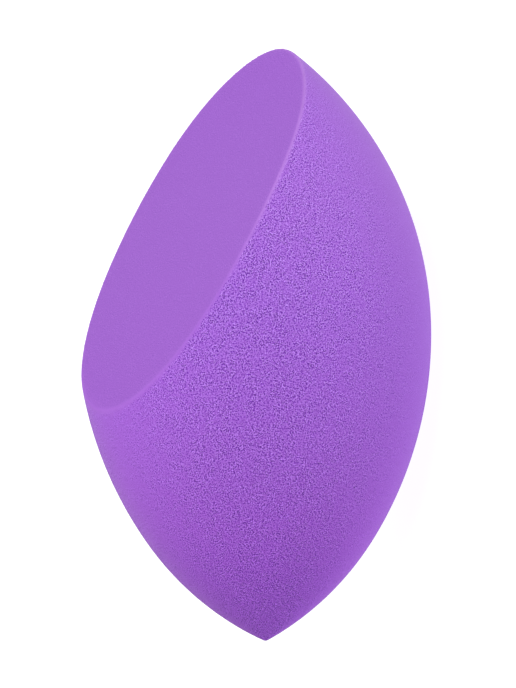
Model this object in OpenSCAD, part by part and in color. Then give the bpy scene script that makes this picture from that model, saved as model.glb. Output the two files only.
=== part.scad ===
// Makeup sponge: one almond-shaped piece of soft foam, turned about its long axis from a
// pointed tip to a rounded end, with one large flat bevel cut slantwise across that end.
// The outline is four arcs, each tangent to the next: tip, nose, flank and crown.
// The sponge lies on its side with the bevel upwards, as it comes to rest on a table:
// +X runs from the tip towards the cut end, and the origin is on the table, midway along.

/* [Body] */
// Diameter of the body at its widest ring
body_d = 36; // [30:0.5:48]
// Radius of the long curve from the widest ring down towards the tip
flank_r = 39.5; // [36:0.5:50]
// Length of that curve along the axis
flank_h = 21.75; // [18:0.25:25]
// Radius of the curve from the widest ring up over the rounded end
crown_r = 36.1; // [33:0.1:45]

/* [Tip] */
// Radius of the straighter curve that leads into the tip
nose_r = 29.7; // [26:0.1:40]
// Radius of the small rounding at the very tip
tip_r = 0.3; // [0.1:0.05:1.5]

/* [Bevel] */
// Angle between the bevel's outward normal and the long axis, in degrees
bevel_angle = 59.5; // [50:0.5:70]
// Height above the widest ring at which the bevel crosses the long axis
bevel_h = 21.7; // [18:0.1:25]

/* [Rest] */
// How far the tip dips below the level when the sponge lies on its side, in degrees
tip_dip = 6.7; // [0:0.1:12]
// How far the soft underside is pressed flat where it lies on the table
foot_depth = 0.4; // [0.1:0.05:1]

/* [Hidden] */
// Facets in a full circle, and straight steps along each curve of the outline
$fn = 180;
curve_steps = 24;
tip_steps = 6;

// Turns that lay the upright sponge down, in degrees
quarter_turn = 90;
half_turn = 180;

// How far the tool that cuts the bevel reaches past the body
overrun = 1;

body_r = body_d / 2;

// Centre of each curve, as [distance from the axis, height above the widest ring]
crown_centre = [body_r - crown_r, 0];
flank_centre = [body_r - flank_r, 0];

// The flank ends where its radius has turned by flank_turn below the widest ring
flank_turn = asin(flank_h / flank_r);
nose_start = flank_centre + flank_r * [cos(flank_turn), -sin(flank_turn)];
nose_centre = nose_start - nose_r * [cos(flank_turn), -sin(flank_turn)];

// The tip's rounding sits on the axis and touches the nose curve from inside
tip_reach = sqrt(pow(nose_r - tip_r, 2) - pow(nose_centre[0], 2));
tip_centre = [0, nose_centre[1] - tip_reach];
tip_turn = asin(tip_reach / (nose_r - tip_r));
tip_bottom = tip_centre[1] - tip_r;

// Where the crown curve would meet the axis, if the bevel left it whole
crown_turn = acos(-crown_centre[0] / crown_r);
crown_top = crown_r * sin(crown_turn);

// Side of a square that covers the whole outline, and of the block that cuts the bevel
reach = crown_top - tip_bottom + overrun;

// Lowest end of the bevel's edge, on the side away from the bevel: the bevel line in the
// symmetry plane runs through [0, bevel_h] along edge_way and meets the crown curve there
edge_way = [cos(bevel_angle), sin(bevel_angle)];
to_crown = [0, bevel_h] - crown_centre;
edge_half = to_crown * edge_way;
edge_run = sqrt(edge_half * edge_half - to_crown * to_crown + crown_r * crown_r) - edge_half;
edge_far = [0, bevel_h] + edge_run * edge_way;

// Rest on the table: the flank's lowest point carries the sponge and is pressed flat there
rest_height = flank_r + flank_centre[0] * cos(tip_dip) - foot_depth;
low_end = tip_centre[1] * cos(tip_dip) - tip_r;
high_end = edge_far[1] * cos(tip_dip) + edge_far[0] * sin(tip_dip);
rest_shift = -(low_end + high_end) / 2;

// Points along an arc, from one angle to another, both measured from straight outwards
function arc(centre, radius, from, to, steps) = [
    for (i = [0:steps])
        let (angle = from + (to - from) * i / steps)
            centre + radius * [cos(angle), sin(angle)]
];

// The same points without the first one
function after_first(points) = [for (i = [1:len(points) - 1]) points[i]];

// Half of the body's outline, to the right of the axis, from the tip to the crown's top.
// Each curve leaves out its first point, because the curve before it ends there.
module outline() {
    polygon(concat(
        arc(tip_centre, tip_r, -quarter_turn, -tip_turn, tip_steps),
        after_first(arc(nose_centre, nose_r, -tip_turn, -flank_turn, curve_steps)),
        after_first(arc(flank_centre, flank_r, -flank_turn, 0, curve_steps)),
        after_first(arc(crown_centre, crown_r, 0, crown_turn, curve_steps))
    ));
}

// What the bevel takes away: a block whose lower face is the bevel
module bevel_cut() {
    translate([0, 0, bevel_h]) rotate([0, bevel_angle, 0])
        translate([-reach, -reach, 0]) cube([2 * reach, 2 * reach, reach]);
}

// The sponge upright, its widest ring level with the origin and its bevel facing +X
module upright_sponge() {
    difference() {
        rotate_extrude() outline();
        bevel_cut();
    }
}

// What the table takes away of the underside: a block whose top is the table
module table_cut() {
    translate([-reach, -reach, -reach]) cube([2 * reach, 2 * reach, reach]);
}

module foam_body() {
    color([0.64, 0.41, 0.82]) difference() {
        translate([rest_shift, 0, rest_height])
            rotate([half_turn, -quarter_turn - tip_dip, 0]) upright_sponge();
        table_cut();
    }
}

foam_body();
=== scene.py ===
import math

import bpy
import numpy as np
from mathutils import Matrix, Vector


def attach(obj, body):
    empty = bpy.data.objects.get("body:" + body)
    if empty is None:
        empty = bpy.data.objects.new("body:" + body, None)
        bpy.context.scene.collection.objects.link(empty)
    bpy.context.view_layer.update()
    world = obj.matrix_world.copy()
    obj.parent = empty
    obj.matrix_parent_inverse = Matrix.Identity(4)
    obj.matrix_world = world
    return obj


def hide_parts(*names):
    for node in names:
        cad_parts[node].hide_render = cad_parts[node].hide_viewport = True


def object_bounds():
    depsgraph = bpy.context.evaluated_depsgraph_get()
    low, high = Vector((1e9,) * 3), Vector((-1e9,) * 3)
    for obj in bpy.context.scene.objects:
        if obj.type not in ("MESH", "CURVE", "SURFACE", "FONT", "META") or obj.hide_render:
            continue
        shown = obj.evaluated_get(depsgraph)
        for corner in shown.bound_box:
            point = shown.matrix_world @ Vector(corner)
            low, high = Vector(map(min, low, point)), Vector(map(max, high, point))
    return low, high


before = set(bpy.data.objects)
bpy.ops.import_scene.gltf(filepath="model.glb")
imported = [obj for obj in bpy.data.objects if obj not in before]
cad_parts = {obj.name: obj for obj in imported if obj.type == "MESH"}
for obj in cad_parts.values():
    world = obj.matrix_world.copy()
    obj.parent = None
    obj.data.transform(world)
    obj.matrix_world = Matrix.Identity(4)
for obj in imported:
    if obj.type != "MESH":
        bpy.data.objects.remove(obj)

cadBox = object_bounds()
mm = 0.001

# The sponge is modelled upright and in millimetres: Z is its long axis, the widest ring is at Z 0 and
# the bevel faces +X. It is laid on its side once it is cut, and brought to metres at the end. The
# sizes down to footDepth are the solid's own.
sponge = {
    "bodyDiameter": 36.0,
    "flankRadius": 39.5,  # from the widest ring down towards the tip
    "flankLength": 21.75,
    "crownRadius": 36.1,  # from the widest ring up over the rounded end
    "noseRadius": 29.7,
    "tipRadius": 0.3,
    "bevelAngle": 59.5,  # degrees between the bevel's normal and the long axis
    "bevelHeight": 21.7,  # where the bevel crosses the long axis
    "tipDip": 6.7,  # degrees
    "footDepth": 0.4,
    "ringSteps": 240,
    "arcStep": 0.8,  # length of a step along the outline
    "fewestSteps": 6,  # along an arc of the outline
    "mergeDistance": 0.001,
    "voxel": 0.13,  # of the even mesh that the body gets before it is thinned
    "smoothSteps": 6,
    "triangles": 190000,
    "reliefSize": 0.35,  # of the small hollows and bumps that the open pores leave in the skin
    "reliefHeight": 0.03,
    "smoothFoot": 0.02,  # height over the table up to which the skin has no relief
    "undersideEdge": -56,  # degrees above the middle of the flank
    "layoutSteps": 40,  # points on each arc that the skin is laid out by
    "cutBlend": 0.3,  # width of the change from skin to cut face
    # A painted highlight along the cut's edge, a pale line where light catches it: its width, and where
    # it starts and stops fading, in mm from the middle towards the tip, with how much of it is left.
    "edgeHighlightWidth": 0.22,
    "edgeHighlightFade": (-15, -3, 0.34),
}

# The blade's path through the foam, along the bevel. Each row across it has its place up the bevel's
# slope, its height over a flat bevel and its tilt in degrees. The blade wandered most near the slope's
# two ends.
blade = {
    "rows": [
        (-36, -0.85, -1.5),
        (-24, -0.47, -0.6),
        (-12, -0.07, 0.4),
        (0, 0.07, 1.1),
        (12, 0.01, 0.0),
        (24, -0.34, -5.1),
        (36, -0.98, -10.3),
    ],
    "width": 60,
    "height": 40,
    "acrossSteps": 2,
    "rowReach": 0.01,  # how far from its row's place a point may stand
    "smoothing": 4,
}


def deselectAll():
    bpy.ops.object.select_all(action="DESELECT")


def selectOnly(obj):
    deselectAll()
    obj.select_set(True)
    bpy.context.view_layer.objects.active = obj


def editAll(obj, kind="VERT"):
    selectOnly(obj)
    bpy.ops.object.mode_set(mode="EDIT")
    bpy.ops.mesh.select_mode(type=kind)
    bpy.ops.mesh.select_all(action="SELECT")


def leaveEdit():
    bpy.ops.object.mode_set(mode="OBJECT")


# Turns every face outwards and leaves edit mode
def closeEdit():
    bpy.ops.mesh.select_all(action="SELECT")
    bpy.ops.mesh.normals_make_consistent(inside=False)
    leaveEdit()


def applyModifiers(obj):
    selectOnly(obj)
    for modifier in list(obj.modifiers):
        bpy.ops.object.modifier_apply(modifier=modifier.name)


def placesOf(mesh):
    places = np.empty(len(mesh.vertices) * 3)
    mesh.vertices.foreach_get("co", places)
    return places.reshape(-1, 3)


def valuesOf(mesh, name):
    values = np.empty(len(mesh.vertices))
    mesh.attributes[name].data.foreach_get("value", values)
    return values


# Selects the vertices that a test on the table of their places picks, in edit mode
def pickVertices(obj, chosen):
    leaveEdit()
    picked = chosen(placesOf(obj.data))
    obj.data.vertices.foreach_set("select", picked)
    obj.data.edges.foreach_set("select", np.zeros(len(obj.data.edges), dtype=bool))
    obj.data.polygons.foreach_set("select", np.zeros(len(obj.data.polygons), dtype=bool))
    bpy.ops.object.mode_set(mode="EDIT")


# The outline's arcs from the tip up, each as its centre, its radius, and the angles it runs between
def outlineCurves(size):
    radius = size["bodyDiameter"] / 2
    turn = math.asin(size["flankLength"] / size["flankRadius"])
    way = Vector((math.cos(turn), 0, -math.sin(turn)))
    flankCentre = Vector((radius - size["flankRadius"], 0, 0))
    noseCentre = flankCentre + way * (size["flankRadius"] - size["noseRadius"])
    reach = math.sqrt((size["noseRadius"] - size["tipRadius"]) ** 2 - noseCentre.x**2)
    tipCentre = Vector((0, 0, noseCentre.z - reach))
    tipTurn = math.atan2(reach, -noseCentre.x)
    crownCentre = Vector((radius - size["crownRadius"], 0, 0))
    crownTurn = math.acos(-crownCentre.x / size["crownRadius"])
    return [
        (tipCentre, size["tipRadius"], -math.pi / 2, -tipTurn),
        (noseCentre, size["noseRadius"], -tipTurn, -turn),
        (flankCentre, size["flankRadius"], -turn, 0),
        (crownCentre, size["crownRadius"], 0, crownTurn),
    ]


# The lowest point of the upright sponge
def tipPoint(size):
    tipCentre = outlineCurves(size)[0][0]
    return tipCentre - Vector((0, 0, size["tipRadius"]))


# Draws half of the outline as a chain of arcs and turns it round the long axis
def turnBody(size):
    deselectAll()
    bpy.ops.mesh.primitive_plane_add(size=1, location=(0, 0, 0))
    body = bpy.context.object
    body.name = "wholeBody"
    editAll(body)
    bpy.ops.mesh.merge(type="CENTER")  # leaves one point to draw from
    bpy.ops.transform.translate(value=tipPoint(size))
    for centre, radius, start, end in outlineCurves(size):
        steps = max(size["fewestSteps"], round(radius * (end - start) / size["arcStep"]))
        bpy.ops.mesh.spin(steps=steps, angle=end - start, center=centre, axis=(0, 1, 0))
    bpy.ops.mesh.select_all(action="SELECT")
    bpy.ops.mesh.spin(steps=size["ringSteps"], angle=2 * math.pi, center=(0, 0, 0), axis=(0, 0, 1))
    bpy.ops.mesh.select_all(action="SELECT")
    bpy.ops.mesh.remove_doubles(threshold=size["mergeDistance"])
    closeEdit()
    return body


# A block whose lower face is the blade's path, laid along the bevel
def makeBlade(size, blade):
    rows = blade["rows"]
    length = rows[-1][0] - rows[0][0]
    across = blade["acrossSteps"]
    deselectAll()
    bpy.ops.mesh.primitive_grid_add(x_subdivisions=len(rows) - 1, y_subdivisions=across, size=1)
    block = bpy.context.object
    block.name = "blade"
    editAll(block)
    bpy.ops.transform.resize(value=(length, blade["width"], 1))
    for along, height, tilt in rows:
        pickVertices(block, lambda places: np.abs(places[:, 0] + along) < blade["rowReach"])
        turn = -math.radians(tilt)  # with no window, rotate turns the other way
        bpy.ops.transform.rotate(value=turn, orient_axis="X", center_override=(0, 0, 0))
        bpy.ops.transform.translate(value=(0, 0, height))
    leaveEdit()
    bend = block.modifiers.new("bend", "SUBSURF")
    bend.levels = bend.render_levels = blade["smoothing"]
    applyModifiers(block)
    editAll(block, "FACE")
    bpy.ops.mesh.extrude_region_move(TRANSFORM_OT_translate={"value": (0, 0, blade["height"])})
    closeEdit()
    angle = math.radians(size["bevelAngle"])
    depth = size["bevelHeight"] * math.cos(angle)
    block.location = (depth * math.sin(angle), 0, depth * math.cos(angle))
    block.rotation_euler = (0, angle, 0)
    bpy.ops.object.transform_apply(location=True, rotation=True, scale=True)
    return block


# Takes the blade's block out of the body
def cutBevel(body, block):
    cut = body.modifiers.new("bevelCut", "BOOLEAN")
    cut.operation = "DIFFERENCE"
    cut.solver = "EXACT"
    cut.object = block
    applyModifiers(body)


# The matrix that lays the upright sponge on its side on the table, in metres
def layDown(size):
    dip = math.radians(size["tipDip"])
    axis = Vector((math.cos(dip), 0, math.sin(dip)))
    side = Vector((-math.sin(dip), 0, math.cos(dip)))
    radius = size["bodyDiameter"] / 2
    flankCentre = radius - size["flankRadius"]
    height = size["flankRadius"] + flankCentre * math.cos(dip) - size["footDepth"]
    tipCentre = outlineCurves(size)[0][0]
    lowEnd = tipCentre.z * math.cos(dip) - size["tipRadius"]
    shift = cadBox[0].x / mm - lowEnd
    turn = Matrix((side, Vector((0, -1, 0)), axis)).transposed().to_4x4()
    return Matrix.Scale(mm, 4) @ Matrix.Translation((shift, 0, height)) @ turn


# The same, still in millimetres
def layDownInMm(size):
    return Matrix.Scale(1 / mm, 4) @ layDown(size)


# Flattens the underside where the soft sponge lies on the table
def pressFoot(body):
    editAll(body)
    bpy.ops.mesh.bisect(plane_co=(0, 0, 0), plane_no=(0, 0, 1), use_fill=True, clear_inner=True)
    closeEdit()


# How far each place is from the object's surface
def distancesTo(obj, places):
    distances = []
    for place in places:
        _, nearest, _, _ = obj.closest_point_on_mesh(place)
        distances.append((nearest - Vector(place)).length)
    return np.array(distances)


# The pores are most open along both flanks, and close up towards the bevel and the rounded end. They
# close up below each flank too, and open again on the underside, less so towards its rounded end.
# Each row has where they start and stop closing up, and how open they stay. For the two ends these
# places are in mm above the widest ring, and for the others in degrees above the middle of the flank.
# The underside's row has where they are open, where they are shut, and how open they are at most.
openness = {
    "high": (37, 89, 0.30),
    "nearLow": (18, -50, 0.14),
    "farLow": (-34, -54, 0.14),
    "underside": (-74, -58, 0.80),
    "roundEnd": (6, 24, 0.78),
    "undersideEnd": (2, 17, 0.12),
}


# 1 before the start, low after the end, and smooth between
def fade(values, start, end, low):
    share = np.clip((values - start) / (end - start), 0, 1)
    return 1 - (1 - low) * share * share * (3 - 2 * share)


# Where the laid body's vertices were when it stood upright
def uprightPlaces(body, size):
    toUpright = np.array(layDownInMm(size).inverted())
    return placesOf(body.data) @ toUpright[:3, :3].T + toUpright[:3, 3]


# Which way they faced then
def uprightNormals(body, size):
    toUpright = np.array(layDownInMm(size).inverted())
    normals = np.empty(len(body.data.vertices) * 3)
    body.data.vertex_normals.foreach_get("vector", normals)
    return normals.reshape(-1, 3) @ toUpright[:3, :3].T


# How open the pores are at each vertex, from 0 to 1
def porePattern(body, size):
    normals = uprightNormals(body, size)
    heights = uprightPlaces(body, size)[:, 2]
    around = np.degrees(np.arctan2(normals[:, 0], np.abs(normals[:, 1])))
    near = fade(around, *openness["nearLow"])
    far = fade(around, *openness["farLow"])
    opened, closed, share = openness["underside"]
    underside = share * fade(around, opened, closed, 0) * fade(heights, *openness["undersideEnd"])
    low = np.maximum(np.where(normals[:, 1] > 0, near, far), underside)
    return fade(around, *openness["high"]) * low * fade(heights, *openness["roundEnd"])


# The skin laid out flat, in mm: around from the middle of the nearer flank or of the underside, and
# along the outline from the tip
def skinLayout(body, size):
    places = uprightPlaces(body, size)
    points = []
    for centre, radius, start, end in outlineCurves(size):
        for angle in np.linspace(start, end, size["layoutSteps"]):
            out = centre.x + radius * math.cos(angle)
            points.append((out, centre.z + radius * math.sin(angle)))
    points = np.array(points)
    steps = np.diff(points, axis=0, prepend=points[:1])
    lengths = np.cumsum(np.hypot(*steps.T))
    onFlank = np.arctan2(places[:, 0], np.abs(places[:, 1]))
    below = np.arctan2(places[:, 1], -places[:, 0])
    around = np.where(onFlank < math.radians(size["undersideEdge"]), below, onFlank)
    around *= np.hypot(places[:, 0], places[:, 1])
    along = np.interp(places[:, 2], points[:, 1], lengths)
    return np.stack((around, along, np.zeros(len(places))), axis=1)


# The cut face laid out flat, in mm: down the bevel's slope, and across it
def cutLayout(body, size):
    places = uprightPlaces(body, size)
    angle = math.radians(size["bevelAngle"])
    down = places[:, 0] * math.cos(angle) - places[:, 2] * math.sin(angle)
    return np.stack((down, places[:, 1], np.zeros(len(places))), axis=1)


# Writes where the cut face is, how near its edge for the painted highlight along that edge, how open the
# pores are and where the grain is read, as attributes for the finish
def markSurfaces(body, whole, block, size):
    places = placesOf(body.data)
    fromSkin = distancesTo(whole, places)
    fromBlade = distancesTo(block, places)
    cutFace = np.clip((fromSkin - fromBlade) / size["cutBlend"] / 2 + 0.5, 0, 1)
    # The painted highlight along the cut's edge, fading towards the tip
    nearEdge = np.exp(-(fromSkin**2 + fromBlade**2) / size["edgeHighlightWidth"] ** 2)
    edgeHighlight = nearEdge * fade(-places[:, 0], *size["edgeHighlightFade"])
    openPores = porePattern(body, size) * (1 - nearEdge)
    attributes = body.data.attributes
    values = {"cutFace": cutFace, "edgeHighlight": edgeHighlight, "openPores": openPores}
    for name, table in values.items():
        attributes.new(name, "FLOAT", "POINT").data.foreach_set("value", table)
    onCut = cutFace[:, None] > 0.5
    laid = np.where(onCut, cutLayout(body, size), skinLayout(body, size))
    attributes.new("skinPlace", "FLOAT_VECTOR", "POINT").data.foreach_set("vector", laid.ravel())


# Presses small hollows and bumps into the skin, deepest where the pores are most open
def roughenSkin(body, size):
    group = body.vertex_groups.new(name="openSkin")
    openPores = valuesOf(body.data, "openPores")
    cutFace = valuesOf(body.data, "cutFace")
    onTable = placesOf(body.data)[:, 2] < size["smoothFoot"]
    for index, weight in enumerate(openPores * (1 - cutFace) * ~onTable):
        group.add([index], weight, "REPLACE")
    pores = bpy.data.textures.new("openSkin", "CLOUDS")
    pores.noise_scale = size["reliefSize"]
    pores.noise_depth = 0
    relief = body.modifiers.new("relief", "DISPLACE")
    relief.texture = pores
    relief.vertex_group = group.name
    relief.strength = size["reliefHeight"]
    applyModifiers(body)
    body.vertex_groups.clear()


def makeSponge(size, blade):
    whole = turnBody(size)
    block = makeBlade(size, blade)
    body = whole.copy()
    body.data = whole.data.copy()
    bpy.context.collection.objects.link(body)
    body.name = body.data.name = "foamSponge"
    cutBevel(body, block)
    print("body turned and bevelled:", len(body.data.polygons), "faces")
    for obj in (whole, block, body):
        obj.data.transform(layDownInMm(size))
    pressFoot(body)
    print("foot pressed:", len(body.data.polygons), "faces")
    remesh = body.modifiers.new("evenMesh", "REMESH")
    remesh.mode = "VOXEL"
    remesh.voxel_size = size["voxel"]
    soften = body.modifiers.new("softEdges", "SMOOTH")
    soften.iterations = size["smoothSteps"]
    applyModifiers(body)
    print("body remeshed:", len(body.data.polygons), "faces")
    thin = body.modifiers.new("thinned", "DECIMATE")
    thin.ratio = size["triangles"] / (2 * len(body.data.polygons))  # a face is two triangles
    applyModifiers(body)
    print("body thinned:", len(body.data.polygons), "faces")
    markSurfaces(body, whole, block, size)
    roughenSkin(body, size)
    print("skin marked and roughened")
    bpy.data.objects.remove(whole)
    bpy.data.objects.remove(block)
    body.data.transform(Matrix.Scale(mm, 4))
    body.data.update()
    selectOnly(body)
    bpy.ops.object.shade_smooth()
    return body


# Finish of the foam, as linear colours and lengths in mm
foam = {
    "colour": (0.346, 0.1215, 0.630, 1),
    # the pores' colour is painted shade in their hollows, the glints' colour painted highlight on the
    # ridges
    "poreShadeColour": (0.145, 0.003, 0.42, 1),
    "glintHighlightColour": (0.620, 0.345, 0.965, 1),
    # Tints over these colours: along the skin, each at its place in mm from the sponge's middle, where
    # the tip is at the low end, painted shade that darkens the tip end; at the two ends of the cut face,
    # painted shade that darkens it; along its edge, a painted highlight; and in the open pores.
    "skinShadeTints": {
        -30: (0.885, 0.530, 0.99, 1),
        -20: (0.962, 0.722, 1.00, 1),
        -13: (0.973, 0.820, 1.00, 1),
        3: (0.968, 0.925, 1.00, 1),
        14: (1.0, 1.0, 1.0, 1),
    },
    "cutLowShadeTint": (0.800, 0.650, 0.812, 1),
    "cutHighShadeTint": (0.832, 0.787, 0.828, 1),
    # a painted highlight along the cut's edge
    "edgeHighlightTint": (1.30, 1.67, 1.12, 1),
    "openTint": (1.01, 0.965, 1.035, 1),
    "poreSize": 0.225,
    "speckSize": 0.205,
    "dotReach": 0.37,  # radius of a pore or speck, as a share of its cell
    "faintestDot": 0.4,  # strength of the faintest pore or speck, where the strongest has 1
    "wispSize": 0.12,
    "wispNoise": (0.3, 0.7),  # the noise's values that give the darkest and the palest wisp
    "wispSpan": (-0.5, 0.5),
    "patchSize": 1.3,
    "patchNoise": (0.35, 0.6),  # the noise's values in the plainest and the grainiest patches
    "patchDetail": 1.0,
    "patchShare": 0.45,  # how much weaker the grain is in the plainest patches
    "poreWeight": 3.5,
    "speckWeight": 1.75,
    "wispWeight": 1.05,
    "grainShift": 0.125,
    "cutContrast": 0.70,  # of the grain on the cut face, where 1 is the skin's
    "poreDepth": 0.03,
    "roughness": 0.85,
    "specular": 0.18,
    "sheen": 0.10,
    "sheenRoughness": 0.5,
}


def addNode(tree, kind, **settings):
    node = tree.nodes.new(kind)
    for name, value in settings.items():
        setattr(node, name, value)
    return node


# Gives a socket its value, or links it to another node's output
def feed(tree, socket, value):
    if isinstance(value, (int, float, tuple)):
        socket.default_value = value
    else:
        tree.links.new(value, socket)


def combine(tree, kind, first, second):
    node = addNode(tree, "ShaderNodeMath", operation=kind)
    feed(tree, node.inputs[0], first)
    feed(tree, node.inputs[1], second)
    return node.outputs[0]


# Carries a value over from one span to another, and stops at its ends
def spread(tree, value, span, result=(0.0, 1.0), kind="SMOOTHSTEP"):
    node = addNode(tree, "ShaderNodeMapRange", interpolation_type=kind)
    feed(tree, node.inputs["Value"], value)
    feed(tree, node.inputs["From Min"], span[0])
    feed(tree, node.inputs["From Max"], span[1])
    feed(tree, node.inputs["To Min"], result[0])
    feed(tree, node.inputs["To Max"], result[1])
    return node.outputs[0]


# Blends two colours: inputs 6 and 7 of a Mix node, and its output 2, are the ones for colours
def blend(tree, amount, first, second, kind="MIX"):
    node = addNode(tree, "ShaderNodeMix", data_type="RGBA", blend_type=kind)
    feed(tree, node.inputs[0], amount)
    feed(tree, node.inputs[6], first)
    feed(tree, node.inputs[7], second)
    return node.outputs[2]


def attribute(tree, name, output="Fac"):
    return addNode(tree, "ShaderNodeAttribute", attribute_name=name).outputs[output]


def noise(tree, place, size, detail=0.0):
    node = addNode(tree, "ShaderNodeTexNoise", noise_dimensions="2D")
    feed(tree, node.inputs["Vector"], place)
    feed(tree, node.inputs["Scale"], 1 / size)
    feed(tree, node.inputs["Detail"], detail)
    return node.outputs["Fac"]


# Round dots, one in each cell of a random pattern, and each of its own strength
def dots(tree, place, size, finish):
    pattern = addNode(tree, "ShaderNodeTexVoronoi", voronoi_dimensions="2D", feature="F1")
    feed(tree, pattern.inputs["Vector"], place)
    feed(tree, pattern.inputs["Scale"], 1 / size)
    chance = addNode(tree, "ShaderNodeSeparateColor")
    feed(tree, chance.inputs[0], pattern.outputs["Color"])
    shape = spread(tree, pattern.outputs["Distance"], (finish["dotReach"], 0.0))
    strength = spread(tree, chance.outputs[0], (0.0, 1.0), (finish["faintestDot"], 1.0), "LINEAR")
    return combine(tree, "MULTIPLY", shape, strength)


# The grain of open foam: 0 is plain, below it are pores and above it glints. It also drives the bump,
# and in the colour the pores are painted shade in their hollows and the glints painted highlights on the
# ridges
def foamGrain(tree, place, finish):
    pore = dots(tree, place, finish["poreSize"], finish)
    speck = dots(tree, place, finish["speckSize"], finish)
    wisp = noise(tree, place, finish["wispSize"])
    wisp = spread(tree, wisp, finish["wispNoise"], finish["wispSpan"])
    grain = combine(tree, "MULTIPLY", wisp, finish["wispWeight"])
    grain = combine(tree, "ADD", grain, combine(tree, "MULTIPLY", speck, finish["speckWeight"]))
    grain = combine(tree, "SUBTRACT", grain, combine(tree, "MULTIPLY", pore, finish["poreWeight"]))
    return combine(tree, "ADD", grain, finish["grainShift"])


# How strong the grain is: weaker in patches, on the cut face and where the pores close up
def grainStrength(tree, place, cutFace, finish):
    patch = noise(tree, place, finish["patchSize"], finish["patchDetail"])
    patch = spread(tree, patch, finish["patchNoise"], (1 - finish["patchShare"], 1.0))
    onCut = spread(tree, cutFace, (0.0, 1.0), (1.0, finish["cutContrast"]))
    strength = combine(tree, "MULTIPLY", patch, onCut)
    return combine(tree, "MULTIPLY", strength, attribute(tree, "openPores"))


# The tint over the foam's colours, from one end of the sponge to the other: painted shade that darkens
# the tip end and the cut face, and a painted highlight along the cut's edge
def foamTint(tree, cutFace, strength, finish):
    places = sorted(finish["skinShadeTints"])
    tip, end = places[0], places[-1]
    onBody = addNode(tree, "ShaderNodeSeparateXYZ")
    feed(tree, onBody.inputs[0], addNode(tree, "ShaderNodeTexCoord").outputs["Object"])
    along = spread(tree, onBody.outputs["X"], (tip * mm, end * mm), kind="LINEAR")
    ramp = addNode(tree, "ShaderNodeValToRGB")
    feed(tree, ramp.inputs[0], along)
    stops = ramp.color_ramp.elements
    for place in places[1:-1]:
        stops.new((place - tip) / (end - tip))
    for stop, place in zip(stops, places):
        stop.color = finish["skinShadeTints"][place]
    # Painted shade on the cut face, darker towards the tip
    onCut = blend(tree, along, finish["cutLowShadeTint"], finish["cutHighShadeTint"])
    tint = blend(tree, cutFace, ramp.outputs[0], onCut)
    # A painted highlight along the cut's edge
    tint = blend(tree, attribute(tree, "edgeHighlight"), tint, finish["edgeHighlightTint"], "MULTIPLY")
    return blend(tree, strength, tint, finish["openTint"], "MULTIPLY")


def foamMaterial(finish):
    material = bpy.data.materials.new("violetFoam")
    material.use_nodes = True
    tree = material.node_tree
    place = attribute(tree, "skinPlace", "Vector")
    cutFace = attribute(tree, "cutFace")
    strength = grainStrength(tree, place, cutFace, finish)
    grain = combine(tree, "MULTIPLY", foamGrain(tree, place, finish), strength)

    # The pores' darker colour is painted shade in the hollows, and the glints' paler colour painted
    # highlights on the ridges
    pores = spread(tree, grain, (0.0, -1.0), kind="LINEAR")
    glints = spread(tree, grain, (0.0, 1.0), kind="LINEAR")
    colour = blend(tree, pores, finish["colour"], finish["poreShadeColour"])
    colour = blend(tree, glints, colour, finish["glintHighlightColour"])
    # The tint adds painted shade towards the tip and on the cut face, and a painted highlight along the
    # cut's edge
    colour = blend(tree, 1.0, colour, foamTint(tree, cutFace, strength, finish), "MULTIPLY")
    bump = addNode(tree, "ShaderNodeBump")
    feed(tree, bump.inputs["Distance"], finish["poreDepth"] * mm)
    feed(tree, bump.inputs["Height"], grain)

    shader = tree.nodes["Principled BSDF"]
    feed(tree, shader.inputs["Base Color"], colour)
    feed(tree, shader.inputs["Normal"], bump.outputs[0])
    feed(tree, shader.inputs["Roughness"], finish["roughness"])
    feed(tree, shader.inputs["Specular IOR Level"], finish["specular"])
    feed(tree, shader.inputs["Sheen Weight"], finish["sheen"])
    feed(tree, shader.inputs["Sheen Roughness"], finish["sheenRoughness"])
    return material


# Where the photo was taken from: turned off the bevel's side, and level with the long axis
shot = {
    "turn": 27.0,  # degrees from the bevel's side towards the camera
    "lean": 2.18,  # degrees that the long axis leans to the left
    "tipPixel": (265.6, 641.2),  # where the tip stands in the picture, from its upper left
    "imageSize": (516, 688),
    "pixelsPerMm": 9.861,
    "distance": 1000.0,  # mm
    "sensorWidth": 36,  # spans the picture's longer side
    "clip": (0.01, 20),  # metres
}


def addCamera(shot, size):
    turn = math.radians(shot["turn"])
    lean = math.radians(shot["lean"])
    place = layDownInMm(size).to_3x3()
    towards = Vector((math.sin(turn), math.cos(turn), 0))
    across = Vector((-math.cos(turn), math.sin(turn), 0))
    along = Vector((0, 0, 1))
    right = across * math.cos(lean) - along * math.sin(lean)
    up = across * math.sin(lean) + along * math.cos(lean)
    width, height = shot["imageSize"]
    offsetX = (width / 2 - shot["tipPixel"][0]) / shot["pixelsPerMm"]
    offsetY = (shot["tipPixel"][1] - height / 2) / shot["pixelsPerMm"]
    aim = tipPoint(size) + right * offsetX + up * offsetY
    spot = aim + towards * shot["distance"]
    camera = bpy.data.objects.new("camera", bpy.data.cameras.new("camera"))
    bpy.context.collection.objects.link(camera)
    turned = Matrix((place @ right, place @ up, place @ towards)).transposed()
    camera.matrix_world = Matrix.Translation(layDown(size) @ spot) @ turned.to_4x4()
    camera.data.sensor_width = shot["sensorWidth"]
    camera.data.lens = shot["sensorWidth"] * shot["distance"] * shot["pixelsPerMm"] / height
    camera.data.clip_start, camera.data.clip_end = shot["clip"]
    bpy.context.scene.camera = camera


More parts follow.
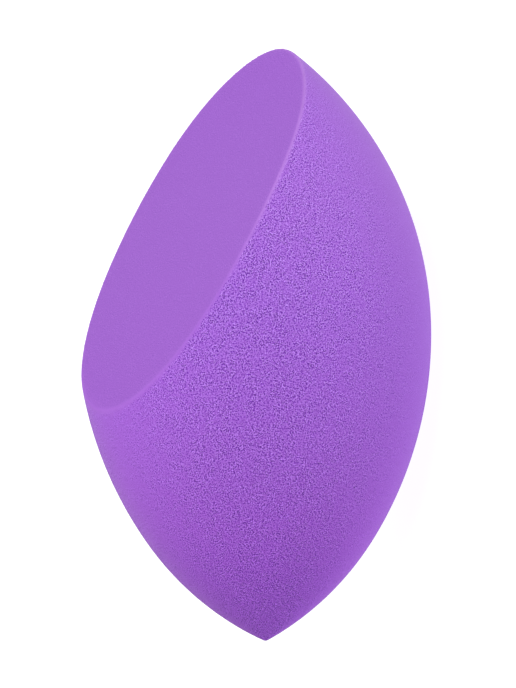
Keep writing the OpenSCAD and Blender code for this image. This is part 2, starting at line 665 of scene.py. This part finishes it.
# The floor is a pale light table, and three soft round lights hang over it. Each light has its azimuth
# from +X towards +Y and its height, both in degrees, its power in watts, and its colour. The sizes and
# distances are in metres.
studio = {
    "floorSize": 4.0,
    "floorColour": (0.28, 0.28, 0.28, 1),
    "floorRoughness": 1.0,
    "floorSpecular": 0.0,
    "glowColour": (1, 1, 1, 1),
    "glow": (0.945, 1.16),
    "glowReach": (0.15, 0.60),  # distances from the middle of the floor, for each of the two
    "lights": {
        "keyFront": (-60, 55, 4.96, (1, 1, 1)),
        "keyBack": (60, 50, 1.63, (1, 1, 1)),
        "fillTip": (140, 47, 1.68, (1, 1, 0.88)),
    },
    "lightSize": 0.5,
    "lightDistance": 0.7,
    "aimHeight": 0.016,
    "roomColour": (1, 1, 1, 1),
}


# Pale paper lit from below, a little more so far from its middle
def paperMaterial(studio):
    material = bpy.data.materials.new("palePaper")
    material.use_nodes = True
    tree = material.node_tree
    distance = addNode(tree, "ShaderNodeVectorMath", operation="LENGTH")
    feed(tree, distance.inputs[0], addNode(tree, "ShaderNodeTexCoord").outputs["Object"])
    glow = spread(tree, distance.outputs["Value"], studio["glowReach"], studio["glow"])
    shader = tree.nodes["Principled BSDF"]
    feed(tree, shader.inputs["Base Color"], studio["floorColour"])
    feed(tree, shader.inputs["Roughness"], studio["floorRoughness"])
    feed(tree, shader.inputs["Specular IOR Level"], studio["floorSpecular"])
    feed(tree, shader.inputs["Emission Color"], studio["glowColour"])
    feed(tree, shader.inputs["Emission Strength"], glow)
    return material


def addFloor(studio):
    deselectAll()
    bpy.ops.mesh.primitive_plane_add(size=studio["floorSize"], location=(0, 0, 0))
    floor = bpy.context.object
    floor.name = "floor"
    floor.data.materials.append(paperMaterial(studio))


def addLights(studio):
    for name, (azimuth, height, power, colour) in studio["lights"].items():
        around = math.radians(azimuth)
        above = math.radians(height)
        level = math.cos(above)
        way = Vector((math.cos(around) * level, math.sin(around) * level, math.sin(above)))
        light = bpy.data.lights.new(name, "AREA")
        light.shape = "DISK"
        light.size = studio["lightSize"]
        light.energy = power
        light.color = colour
        lamp = bpy.data.objects.new(name, light)
        bpy.context.collection.objects.link(lamp)
        lamp.location = way * studio["lightDistance"] + Vector((0, 0, studio["aimHeight"]))
        lamp.rotation_euler = way.to_track_quat("Z", "Y").to_euler()


# A white room that the camera sees past the floor's edge, and that gives no light of its own
def addRoom(studio):
    world = bpy.data.worlds.new("room")
    world.use_nodes = True
    tree = world.node_tree
    feed(tree, tree.nodes["Background"].inputs["Color"], studio["roomColour"])
    bpy.context.scene.world = world  # before its visibility, whose settings look it up there
    world.cycles_visibility.diffuse = False
    world.cycles_visibility.glossy = False


def addStudio(studio):
    addFloor(studio)
    addLights(studio)
    addRoom(studio)


bpy.context.scene.view_settings.view_transform = "Standard"
addCamera(shot, sponge)
print("camera placed")
addStudio(studio)
print("floor, lights and room set")
body = makeSponge(sponge, blade)
body.data.materials.append(foamMaterial(foam))
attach(body, "root")
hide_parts("foam_body")
print("sponge made")
